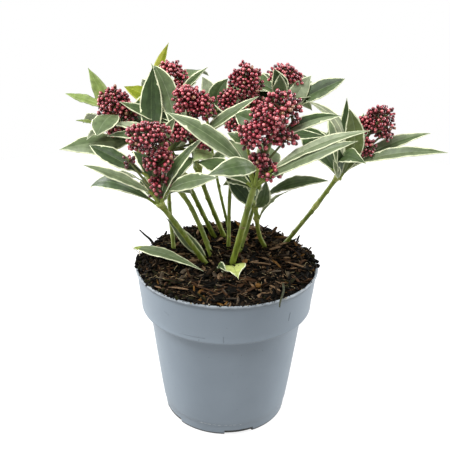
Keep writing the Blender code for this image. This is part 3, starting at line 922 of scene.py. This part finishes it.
COMPOST_COLOURS = {
    "black": (0.0035, 0.003, 0.002),
    "brown": (0.017, 0.010, 0.005),
    "red_brown": (0.048, 0.024, 0.011),
    "tan": (0.150, 0.094, 0.052),
    "orange": (0.120, 0.058, 0.014),
    "straw": (0.300, 0.240, 0.130),
    "grey_brown": (0.066, 0.050, 0.034),
    "root": (0.520, 0.470, 0.360),
    "needle": (0.048, 0.052, 0.032),
    "humus": (0.013, 0.013, 0.004),
}
COMPOST_NUMBERS = {name: number for number, name in enumerate(COMPOST_COLOURS)}


def scatter_place(draw, limit):
    """A random place on the compost, nearer to its middle than the limit."""
    reach = limit * math.sqrt(draw.random())
    x, y, _ = polar(reach, draw.uniform(0, math.tau), 0)
    return x, y


def pick(draw, **shares):
    """The number of a compost colour, drawn by these shares."""
    return COMPOST_NUMBERS[draw.choices(list(shares), shares.values())[0]]


def make_shards(materials):
    """Splinters of bark, lying every way on the compost, and flat chips on top of them."""
    draw = random.Random(SEED * 700)
    pile = Pile()
    for _ in range(BARK_SHARDS):
        x, y = scatter_place(draw, SOIL_RADIUS - 1.2)
        length = draw.triangular(2.5, 15, 5)
        thick = draw.uniform(0.4, 0.9) + 0.06 * length
        turn = draw.uniform(0, math.tau)
        rise = draw.gauss(0.05, 0.42)
        heading = np.array(polar(math.cos(rise), turn, math.sin(rise)))
        middle = np.array([x, y, bed_height(x, y) + draw.uniform(-0.6, 1.5)])
        ends = [middle - heading * length / 2, middle + heading * length / 2]
        for end in ends:
            reach = math.hypot(end[0], end[1])
            if reach > SOIL_RADIUS - 0.4 and end[2] < POT_HEIGHT + 1:
                end[:2] *= (SOIL_RADIUS - 0.6) / reach
        route = smooth_route([ends[0], middle + randoms(draw, -0.6, 0.6), ends[1]], 6)
        radii = np.array([draw.uniform(0.2, 0.7), 0.9, 1.0, 0.95, 0.8, draw.uniform(0.15, 0.7)])
        look = pick(draw, black=42, brown=25, red_brown=11, tan=9, orange=3, grey_brown=6, humus=5)
        pile.add(*tube(route, radii * thick, 5, squash=draw.uniform(0.25, 0.6)), look)
    for _ in range(BARK_CHIPS):
        x, y = scatter_place(draw, SOIL_RADIUS - 8)
        turn = draw.uniform(0, math.tau)
        half = draw.triangular(3.5, 10, 5)
        along = np.array(polar(1, turn, draw.uniform(-0.18, 0.18))) * half
        middle = np.array([x, y, bed_height(x, y) + draw.uniform(0.7, 2.0)])
        route = smooth_route([middle - along, middle + (0, 0, 0.3), middle + along], 7)
        ends = draw.uniform(0.3, 0.8), draw.uniform(0.2, 0.6)
        radii = np.array([ends[0], 0.85, 1.0, 0.95, 0.9, 0.7, ends[1]])
        look = pick(draw, black=14, brown=20, red_brown=18, tan=24, orange=8, grey_brown=14)
        radii = radii * draw.uniform(1.0, 2.4)
        pile.add(*tube(route, radii, 6, squash=draw.uniform(0.2, 0.4)), look)
    pile.make("compost_shards", materials, "compost", "soil")


def make_crumbs(materials):
    """Small lumps between the splinters and on the rim."""
    draw = random.Random(SEED * 800)
    pile = Pile()
    seed_mesh = bmesh.new()
    bmesh.ops.create_icosphere(seed_mesh, subdivisions=1, radius=1)
    ball = np.array([vertex.co[:] for vertex in seed_mesh.verts])
    faces = [[vertex.index for vertex in face.verts] for face in seed_mesh.faces]
    seed_mesh.free()
    for _ in range(CRUMBS):
        x, y = scatter_place(draw, SOIL_RADIUS - 1.5)
        size = draw.triangular(0.5, 2.1, 0.8)
        rough = randoms(draw, 0.7, 1.25, len(ball))
        stretch = (*randoms(draw, 0.7, 1.4, 2), draw.uniform(0.5, 0.9))
        middle = (x, y, bed_height(x, y) + draw.uniform(-0.2, 0.5))
        look = pick(draw, black=64, brown=20, red_brown=5, tan=2, humus=9)
        pile.add(ball * rough[:, None] * stretch * size + middle, faces, look)
    for start, end in RIM_STRETCHES:
        for _ in range(RIM_CRUMBS):
            turn = math.radians(draw.uniform(start, end))
            reach = draw.uniform(SOIL_RADIUS - 2.5, RIM_RADIUS + (0.1 if start > -100 else -1.2))
            size = draw.uniform(0.8, 1.9)
            rough = randoms(draw, 0.7, 1.25, len(ball))
            middle = polar(reach, turn, POT_HEIGHT + draw.uniform(-0.2, 1.4))
            look = COMPOST_NUMBERS[draw.choice(["black", "black", "brown", "humus"])]
            pile.add(ball * rough[:, None] * size + middle, faces, look)
    pile.make("compost_crumbs", materials, "compost", "soil")


# Strays about the rim: points, radius and colour. A dead twig, whitish roots over the left
# side of the rim, a needle over the front of it, and a bark crumb at the back.
STRAYS = [
    ([(-54, 25, 117), (-58, 28.7, 121), (-62.5, 33.5, 122.6), (-66.7, 38, 124.5)], 1.7, "black"),
    ([(-58, 29, 121), (-61, 30.5, 122.6), (-62, 31, 123.6)], 1.2, "black"),
    ([(-64, 12, 117), (-67.5, 14, 119), (-69.5, 18, 118), (-71, 22, 121)], 0.35, "root"),
    ([(-63, 8, 117), (-66.5, 9, 119), (-68, 12, 117.5), (-69, 16, 120.5)], 0.3, "root"),
    ([(-62, 16, 119), (-63.5, 10, 120.5), (-63, 4, 118.5)], 0.45, "root"),
    ([(37.8, -34, 117.5), (37.2, -47, 118.5), (34.2, -60, 118), (33.4, -66, 117.2)], 1.0, "needle"),
    ([(54, 39, 117), (55, 40, 119.8), (55.8, 40, 121)], 0.9, "black"),
]


def make_fibres(materials):
    """Thin root and coir fibres."""
    draw = random.Random(SEED * 900)
    pile = Pile()
    for _ in range(FIBRES):
        x, y = scatter_place(draw, SOIL_RADIUS - 4)
        turn = draw.uniform(0, math.tau)
        length = draw.uniform(4, 13)
        points = []
        for n in range(4):
            share = n / 3 - 0.5
            bend = turn + draw.uniform(-0.12, 0.12)
            px = x + math.cos(bend) * share * length
            py = y + math.sin(bend) * share * length
            reach = math.hypot(px, py)
            if reach > SOIL_RADIUS - 1:
                px, py = px * (SOIL_RADIUS - 1) / reach, py * (SOIL_RADIUS - 1) / reach
            points.append((px, py, bed_height(px, py) + draw.uniform(0.4, 2.4)))
        look = pick(draw, black=10, brown=20, red_brown=14, tan=30, orange=4, straw=24)
        radius = draw.uniform(0.1, 0.24)
        pile.add_strand(points, 9, radius, radius * 0.5, 5, look)
    for points, radius, colour in STRAYS:
        pile.add_strand(points, 12, radius, radius * 0.45, 7, COMPOST_NUMBERS[colour], squash=0.6)
    pile.make("compost_fibres", materials, "compost", "soil")


# ---------------- pot
# Edges of the drain notches, radius and height: the top and the bottom one outside, and the bottom
# and the top one inside
SLOT_EDGES = ((44.95, 2.6), (42.2, 0.0), (42.2, 1.2), (42.6, 2.6))


def arc(centre, radius, start, end, count):
    """Points on an arc in the profile's plane, angles in degrees."""
    made = []
    for n in range(count + 1):
        angle = math.radians(start + (end - start) * n / count)
        made.append((centre[0] + radius * math.cos(angle),
                     centre[1] + radius * math.sin(angle)))
    return made


def pot_profile():
    """The pot's outline from its lip down the outside, under, and back up the inside, and the
    places in it of the drain notches' edges."""
    outline = arc((RIM_RADIUS - 1.0, POT_HEIGHT - 1.0), 1.0, 120, -60, 8)
    outline += [(RIM_RADIUS - 0.75, POT_HEIGHT - 1.7), (RIM_RADIUS - 0.85, POT_HEIGHT - 3.2),
                (RIM_RADIUS - 1.15, POT_HEIGHT - 3.5), (RIM_RADIUS - 1.2, POT_HEIGHT - 3.8)]
    outline += [(62.7, 101), (61.6, 92)]
    outline += arc((59.0, 87.2), 2.3, 12, -84, 8)
    outline += arc((56.9, 84.0), 0.9, 95, 175, 4)
    outline += [(54.2, 72), (51.6, 50), (48.6, 26), (46.6, 11.5), (46.15, 9.6), (45.7, 8.9),
                (45.15, 4.1), SLOT_EDGES[0]]
    outline += arc((43.0, 1.8), 1.8, 0, -90, 6)
    outline += [SLOT_EDGES[1], (38, 0.0), (36.5, 0.35), (0, 0.35)]
    outline += [(0, 1.2), *SLOT_EDGES[2:], (44.3, 9), (53.3, 78), (54.7, 83.0),
                (57.4, 83.9), (60.2, 88), (RIM_RADIUS - 2.0, POT_HEIGHT - 2)]
    return outline, [outline.index(edge) for edge in SLOT_EDGES]


POT_SIDES = 200
SLOT_COUNT = 5
SLOT_SIDES = 15
SLOT_START = -10  # side at which a notch begins, so that its middle is at -4.5 degrees
LIP_ROWS = 9
WALL, SCUFF_AND_HIGHLIGHT, CREASE, LIP, SHADE = range(5)


def in_slot(side):
    return (side - SLOT_START) % (POT_SIDES // SLOT_COUNT) < SLOT_SIDES


def lathe(outline, edges):
    """Points, faces and colour numbers of the turned pot, with the drain notches left out of the
    edge between its wall and its underside."""
    points, rings = [], []
    for radius, height in outline:
        if radius == 0:
            rings.append([len(points)] * POT_SIDES)
            points.append((0, 0, height))
            continue
        rings.append(list(range(len(points), len(points) + POT_SIDES)))
        for side in range(POT_SIDES):
            points.append(polar(radius, math.tau * side / POT_SIDES, height))
    top, bottom, inner_bottom, inner_top = edges
    left_out = [*range(top, bottom), *range(inner_bottom, inner_top)]
    section = [*range(top, bottom + 1), *range(inner_bottom, inner_top + 1)]
    faces, looks = [], []
    for side in range(POT_SIDES):
        after = (side + 1) % POT_SIDES
        for n, ring in enumerate(rings):
            if n in left_out and in_slot(side):
                continue
            following = rings[(n + 1) % len(rings)]
            corners = [ring[side], following[side], following[after], ring[after]]
            corners = list(dict.fromkeys(corners))
            if len(corners) > 2:
                faces.append(corners)
                lip = n < LIP_ROWS - 1 or n == len(rings) - 1
                # SHADE is painted shade: the foot's rounded bottom edge and a strip above each
                # notch are painted dark
                shade = top < n < bottom or (n == top - 1 and in_slot(side))
                looks.append(LIP if lip else SHADE if shade else WALL)
        if not in_slot(side):
            continue
        walls = [[rings[top][side], rings[inner_top][side], rings[inner_top][after],
                  rings[top][after]],
                 [rings[inner_bottom][side], rings[bottom][side], rings[bottom][after],
                  rings[inner_bottom][after]]]
        if not in_slot(side - 1):
            walls.append([rings[n][side] for n in section])
        if not in_slot(side + 1):
            walls.append([rings[n][after] for n in section][::-1])
        faces += walls
        # the notches' walls are painted dark as well: painted shade
        looks += [SHADE] * len(walls)
    return points, faces, looks


def wall_radius(height):
    """Radius of the pot's outside at a height."""
    outline, edges = pot_profile()
    outside = sorted(outline[LIP_ROWS:edges[0] + 1], key=lambda corner: corner[1])
    radii, heights = zip(*outside)
    return float(np.interp(height, heights, radii))


# Fine dark marks on the wall: first and last heading in degrees, first and last height, half width
POT_CREASES = [
    (-91.5, -91.5, 87.4, 92, 0.16),
    (-120, -103, 89.6, 89.9, 0.14),
    (-48, -47.6, 96, 102.5, 0.15),
    (-131, -127, 103, 101, 0.12),
]
SCUFF_AND_HIGHLIGHT_HEADINGS = (-112.0, -76)  # headings between which a broken row of light dashes goes round the foot's ledge: scuffs, and painted highlight along the ledge
SCUFF_AND_HIGHLIGHT_HEIGHT = 9.25


def add_mark(pile, start, end, low, high, half_width, look):
    """A thin ridge on the wall, given as in POT_CREASES."""
    route = []
    for n in range(9):
        turn = math.radians(start + (end - start) * n / 8)
        height = low + (high - low) * n / 8
        route.append(polar(wall_radius(height), turn, height))
    pile.add(*tube(route, [half_width] * 9, 6), look)


def make_pot(materials):
    draw = random.Random(SEED * 1100)
    pile = Pile()
    pile.add(*lathe(*pot_profile()))
    for crease in POT_CREASES:
        add_mark(pile, *crease, CREASE)
    turn, last = SCUFF_AND_HIGHLIGHT_HEADINGS
    while turn < last:
        length = draw.uniform(1.0, 3.2)
        height = SCUFF_AND_HIGHLIGHT_HEIGHT + draw.uniform(-0.1, 0.1)
        add_mark(pile, turn, turn + length, height, height, draw.uniform(0.12, 0.22), SCUFF_AND_HIGHLIGHT)
        turn += length + draw.uniform(0.8, 3.5)
    pile.make("pot_shell", materials, "pot_plastic", "pot")


def make_dust(materials):
    """Compost crumbs on the lip, most of them at the front left, and a few on the wall."""
    draw = random.Random(SEED * 1200)
    pile = Pile()
    grain = np.array([(1, 0, 0), (-1, 0, 0), (0, 1, 0), (0, -1, 0), (0, 0, 1), (0, 0, -1)], float)
    faces = [(0, 2, 4), (2, 1, 4), (1, 3, 4), (3, 0, 4), (2, 0, 5), (1, 2, 5), (3, 1, 5), (0, 3, 5)]
    for n in range(DUST_GRAINS):
        turn = math.radians(draw.choice([draw.uniform(-160, -60), draw.uniform(-180, 180)]))
        radius = RIM_RADIUS - draw.uniform(0.3, 2.2)
        height = POT_HEIGHT + draw.uniform(-0.1, 0.25)
        size = draw.uniform(0.18, 0.6)
        look = pick(draw, black=7, brown=6, straw=1, root=1)
        if n % WALL_GRAIN_STEP == 0:
            height = draw.uniform(12, 110)
            radius = wall_radius(height)
            size = draw.uniform(0.12, 0.22)
            look = COMPOST_NUMBERS["brown"]
        shape = grain * randoms(draw, 0.6, 1.3, len(grain))[:, None] * size
        pile.add(shape + polar(radius, turn, height), faces, look)
    pile.make("compost_dust", materials, "compost", "soil")


def pot_material():
    """Blue-grey plastic, slightly cloudy, with fine dark speckles."""
    made = mottled("pot_plastic_blue_grey", [(0.200, 0.242, 0.284), (0.230, 0.276, 0.322)], 22, 0.4,
                   bump=0.12, bump_scale=1400, detail=3)
    tree = made.node_tree
    shader = tree.nodes["Principled BSDF"]
    place = add_node(tree, "TexCoord").outputs["Object"]
    speckle = add_node(tree, "TexNoise", Scale=520, Detail=1, Vector=place)
    steps = add_node(tree, "ValToRGB", Fac=speckle.outputs["Fac"])
    steps.color_ramp.elements[0].position = 0.78
    steps.color_ramp.elements[1].position = 0.84
    mix = tree.nodes.new("ShaderNodeMix")
    mix.data_type = "RGBA"
    fill(tree, mix, A=shader.inputs["Base Color"].links[0].from_socket,
         B=(0.11, 0.125, 0.135, 1), Factor=steps.outputs["Color"])
    fill(tree, shader, Base_Color=mix.outputs["Result"])
    return made


# ---------------- studio
CAMERA_PLACE = Vector((-1.7, -453.35, 333.08)) * MM
CAMERA_PITCH = math.radians(22.5)
CAMERA_ROLL = math.radians(0.8)
CAMERA_LENS = 56.0
SENSOR_WIDTH = 36.0
FLOOR_RADIUS = 0.7
FLOOR_SIDES = 96
FLOOR_LEVEL = -0.0003  # just below the pot


def make_camera():
    data = bpy.data.cameras.new("camera")
    data.lens = CAMERA_LENS
    data.sensor_width = SENSOR_WIDTH
    data.clip_start = 0.01
    camera = put_in_scene("camera", data)
    view = Vector((0, math.cos(CAMERA_PITCH), -math.sin(CAMERA_PITCH)))
    right = Vector((1, 0, 0))
    up = right.cross(view)
    turned_right = right * math.cos(CAMERA_ROLL) + up * math.sin(CAMERA_ROLL)
    turned_up = up * math.cos(CAMERA_ROLL) - right * math.sin(CAMERA_ROLL)
    turn = Matrix((turned_right, turned_up, -view)).transposed()
    camera.matrix_world = Matrix.Translation(CAMERA_PLACE) @ turn.to_4x4()
    bpy.context.scene.camera = camera


def softbox(name, place, aim, width, height, power):
    data = bpy.data.lights.new(name, "AREA")
    data.shape = "RECTANGLE"
    data.size = width
    data.size_y = height
    data.energy = power
    light = put_in_scene(name, data)
    light.location = place
    light.rotation_mode = "QUATERNION"
    light.rotation_quaternion = (Vector(aim) - Vector(place)).to_track_quat("-Z", "Y")


def make_world():
    """A white backdrop that lights the scene less than it shows."""
    world = bpy.data.worlds.new("studio")
    bpy.context.scene.world = world
    world.use_nodes = True
    tree = world.node_tree
    tree.nodes.clear()
    white = (1, 1, 1, 1)
    seen = add_node(tree, "Background", Strength=1.0, Color=white)
    ambient = add_node(tree, "Background", Strength=0.4, Color=white)
    rays = add_node(tree, "LightPath")
    mix = add_node(tree, "MixShader", Fac=rays.outputs["Is Camera Ray"])
    tree.links.new(ambient.outputs["Background"], mix.inputs[1])
    tree.links.new(seen.outputs["Background"], mix.inputs[2])
    add_node(tree, "OutputWorld", Surface=mix.outputs["Shader"])


def make_floor():
    """A white disc of paper that glows, more for the camera than for the plant."""
    mesh = bpy.data.meshes.new("floor")
    rim = [polar(FLOOR_RADIUS, math.tau * n / FLOOR_SIDES, FLOOR_LEVEL) for n in range(FLOOR_SIDES)]
    mesh.from_pydata(rim, [], [tuple(range(FLOOR_SIDES))])
    floor = put_in_scene("floor", mesh)
    paper = bpy.data.materials.new("white_paper")
    paper.use_nodes = True
    tree = paper.node_tree
    rays = add_node(tree, "LightPath")
    glow = add_node(tree, "MapRange", To_Min=0.35, To_Max=0.85,
                    Value=rays.outputs["Is Camera Ray"])
    fill(tree, tree.nodes["Principled BSDF"], Base_Color=(0.25, 0.25, 0.25, 1), Roughness=0.9,
         Emission_Color=(1, 1, 1, 1), Emission_Strength=glow.outputs["Result"])
    mesh.materials.append(paper)


def make_studio():
    make_world()
    softbox("top_softbox", (-0.3, -0.45, 1.1), (0, 0, 0.15), 0.55, 0.55, 14)
    softbox("left_softbox", (-0.9, 0.35, 0.35), (0, 0, 0.12), 0.6, 0.8, 14.5)
    softbox("right_softbox", (0.95, 0.35, 0.4), (0, 0, 0.12), 0.6, 0.8, 14.5)
    make_floor()
    settings = bpy.context.scene.view_settings
    settings.view_transform = "Standard"
    settings.look = "None"


# ---------------- all of it
make_camera()
make_studio()
leaf_set = material_set("leaf", LEAF_COLOURS, 0.22, 260, 0.42, bump=0.35, bump_scale=900,
                        specular=0.28)
make_leaves(leaf_set)
make_low_leaves(leaf_set)
bud_set = material_set("bud", BUD_COLOURS, 0.3, 700, 0.3, bump=0.2, bump_scale=1800, specular=0.6,
                       coat=0.5)
stalk_set = material_set("bud", STALK_COLOURS, 0.3, 500, 0.5)
for name, shoot, draw in shoots(300):
    if shoot.head:
        make_head(name, shoot, draw, bud_set, stalk_set)
stem_set = [
    mottled("stem_green", [(0.090, 0.130, 0.010), (0.165, 0.215, 0.022), (0.260, 0.300, 0.060)],
            330, 0.42, bump=0.4, bump_scale=700, stretch=(1, 1, 0.25)),
    mottled("stem_scar", [(0.120, 0.100, 0.030), (0.300, 0.270, 0.110)], 500, 0.6, bump=0.4),
    mottled("stem_knot", [(0.150, 0.190, 0.030), (0.330, 0.360, 0.080), (0.420, 0.440, 0.150)],
            420, 0.5, bump=0.4),
]
make_stems(stem_set)
compost_set = material_set("compost", COMPOST_COLOURS, 0.45, 420, 0.85, bump=0.9,
                           bump_scale=1100, specular=0.08)
make_bed(compost_set[0])
make_shards(compost_set)
make_crumbs(compost_set)
make_fibres(compost_set)
make_dust(compost_set)
pot_set = [pot_material(),
           # light dashes round the foot's ledge: scuffs, and painted highlight along its edge
           mottled("pot_scuff_and_highlight", [(0.42, 0.46, 0.49), (0.56, 0.59, 0.61)], 400, 0.5, bump=0.2),
           mottled("pot_crease", [(0.12, 0.14, 0.16), (0.16, 0.19, 0.21)], 400, 0.5, bump=0.2),
           mottled("pot_lip", [(0.16, 0.18, 0.20), (0.29, 0.325, 0.355)], 260, 0.6, bump=0.4,
                   specular=0.3),
           # painted shade on the foot's edge and in the notches
           mottled("pot_shade", [(0.020, 0.022, 0.020), (0.060, 0.062, 0.058)], 300, 0.8)]
make_pot(pot_set)
